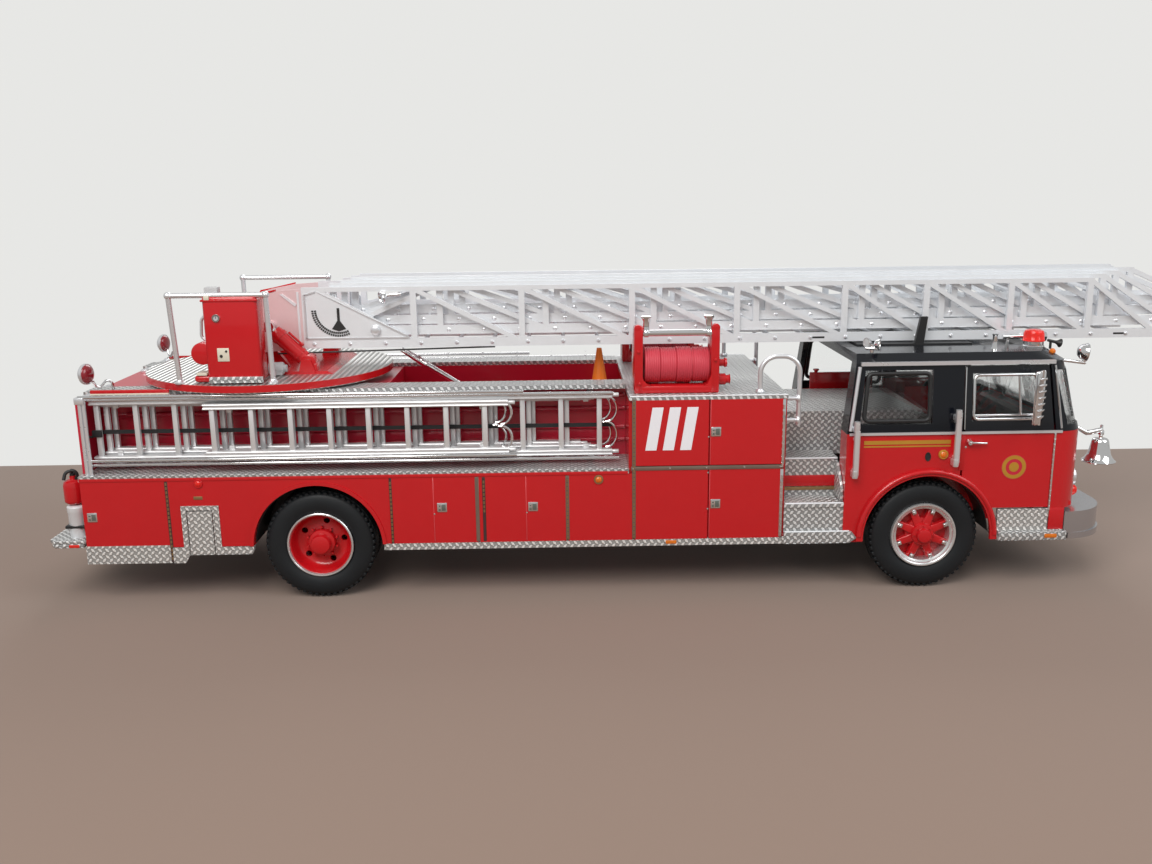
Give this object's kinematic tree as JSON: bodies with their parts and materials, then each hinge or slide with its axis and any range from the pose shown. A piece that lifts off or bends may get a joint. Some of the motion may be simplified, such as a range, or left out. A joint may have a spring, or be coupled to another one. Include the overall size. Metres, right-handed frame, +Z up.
{
  "type": "scale model fire engine with rear-mounted aerial ladder",
  "caption": "Scale model of a cab-forward fire engine with an aerial ladder on a rear turntable, ground ladders in side racks, hose reels and rolling wheels.",
  "frame": {"origin": "on the ground below the middle of the length, on the centre plane", "axes": "+X forward, +Y left, +Z up"},
  "size_m": [0.2314, 0.0584, 0.0607],
  "materials": {
    "red_paint": "gloss",
    "dark_red_paint": "satin",
    "black_paint": "gloss",
    "treadplate": "bright",
    "ladder_aluminium": "satin",
    "chrome": "polished",
    "tyre_rubber": "matte",
    "window_glass": "clear",
    "black_plastic": "matte",
    "hose_rubber": "matte",
    "cone_plastic": "satin",
    "red_lens": "gloss",
    "chassis_black": "satin"
  },
  "bodies": {
    "truck": {"chassis_frame": "chassis_black", "base_bosses": "chassis_black", "rear_axle": "chassis_black", "front_axle": "chassis_black", "engine_block": "chassis_black", "drive_shaft": "chassis_black", "body_doors": "red_paint", "body_shell": "red_paint", "body_decks": "treadplate", "rack_walls": "dark_red_paint", "tread_skirts": "treadplate", "side_steps": "treadplate", "engine_cover": "treadplate", "cab_lower": "red_paint", "cab_upper": "black_paint", "cab_doors": "red_paint", "cab_glass": "window_glass", "cab_roof": "black_paint", "cab_trim": "chrome", "cab_seats": "black_plastic", "dashboard": "black_plastic", "front_bumper": "chrome", "front_grille": "chrome", "bell": "chrome", "beacon": "red_lens", "roof_horns": "chrome", "ladder_cradle": "black_paint", "roof_lamps": "chrome", "mirrors": "chrome", "grab_rails": "chrome", "reel_frames": "red_paint", "reel_rollers": "chrome", "hose_reels": "hose_rubber", "ground_ladders": "ladder_aluminium", "rack_posts": "ladder_aluminium", "traffic_cones": "cone_plastic", "playpipe": "chrome", "rear_step": "treadplate", "extinguishers": "red_paint", "rear_lamps": "red_lens", "rear_warning_lamps": "chrome"},
    "wheel_front_right": {"rim_front_right": "red_paint", "tyre_front_right": "tyre_rubber"},
    "wheel_front_left": {"rim_front_left": "red_paint", "tyre_front_left": "tyre_rubber"},
    "wheel_rear_right": {"rim_rear_right": "red_paint", "tyre_rear_right": "tyre_rubber"},
    "wheel_rear_left": {"rim_rear_left": "red_paint", "tyre_rear_left": "tyre_rubber"},
    "turntable": {"turntable_deck": "ladder_aluminium", "trunnion_frame": "red_paint", "control_pedestal": "red_paint", "turntable_rails": "chrome"},
    "hoist_barrels": {"hoist_barrels": "red_paint"},
    "hoist_rods": {"hoist_rods": "chrome"},
    "ladder_base": {"ladder_base": "ladder_aluminium", "ladder_heel": "red_paint"},
    "ladder_second": {"ladder_second": "ladder_aluminium"},
    "ladder_third": {"ladder_third": "ladder_aluminium"},
    "ladder_fly": {"ladder_fly": "ladder_aluminium"}
  },
  "joints": [
    {"name": "front_right_wheel_spin", "type": "hinge", "parent": "truck", "child": "wheel_front_right", "pos_m": [0.0553, -0.02, 0.0107], "axis": [0, 1, 0], "continuous": true},
    {"name": "front_left_wheel_spin", "type": "hinge", "parent": "truck", "child": "wheel_front_left", "pos_m": [0.0553, 0.02, 0.0107], "axis": [0, 1, 0], "continuous": true},
    {"name": "rear_right_wheel_spin", "type": "hinge", "parent": "truck", "child": "wheel_rear_right", "pos_m": [-0.0622, -0.02, 0.0107], "axis": [0, 1, 0], "continuous": true},
    {"name": "rear_left_wheel_spin", "type": "hinge", "parent": "truck", "child": "wheel_rear_left", "pos_m": [-0.0622, 0.02, 0.0107], "axis": [0, 1, 0], "continuous": true},
    {"name": "turntable_turn", "type": "hinge", "parent": "truck", "child": "turntable", "pos_m": [-0.075, 0, 0.0425], "axis": [0, 0, 1], "continuous": true},
    {"name": "ladder_raise", "type": "hinge", "parent": "turntable", "child": "ladder_base", "pos_m": [-0.0762, 0, 0.048], "axis": [0, -1, 0], "range_deg": [0, 75]},
    {"name": "second_slide", "type": "slide", "parent": "ladder_base", "child": "ladder_second", "axis": [1, 0, 0], "range_m": [0, 0.14]},
    {"name": "third_slide", "type": "slide", "parent": "ladder_second", "child": "ladder_third", "axis": [1, 0, 0], "range_m": [0, 0.14]},
    {"name": "fly_slide", "type": "slide", "parent": "ladder_third", "child": "ladder_fly", "axis": [1, 0, 0], "range_m": [0, 0.14]},
    {"name": "hoist_barrels_tilt", "type": "hinge", "parent": "turntable", "child": "hoist_barrels", "pos_m": [-0.065, 0, 0.0445], "axis": [0, -1, 0], "range_deg": [0, 14.2]},
    {"name": "hoist_rods_slide", "type": "slide", "parent": "hoist_barrels", "child": "hoist_rods", "axis": [-0.7167, 0, 0.6974], "range_m": [0, 0.00588]}
  ],
  "couplings": [
    {"joint": "hoist_barrels_tilt", "follows": "ladder_raise", "ratio": 0.18266},
    {"joint": "hoist_rods_slide", "follows": "ladder_raise", "m_per_rad": 0.0043414}
  ]
}
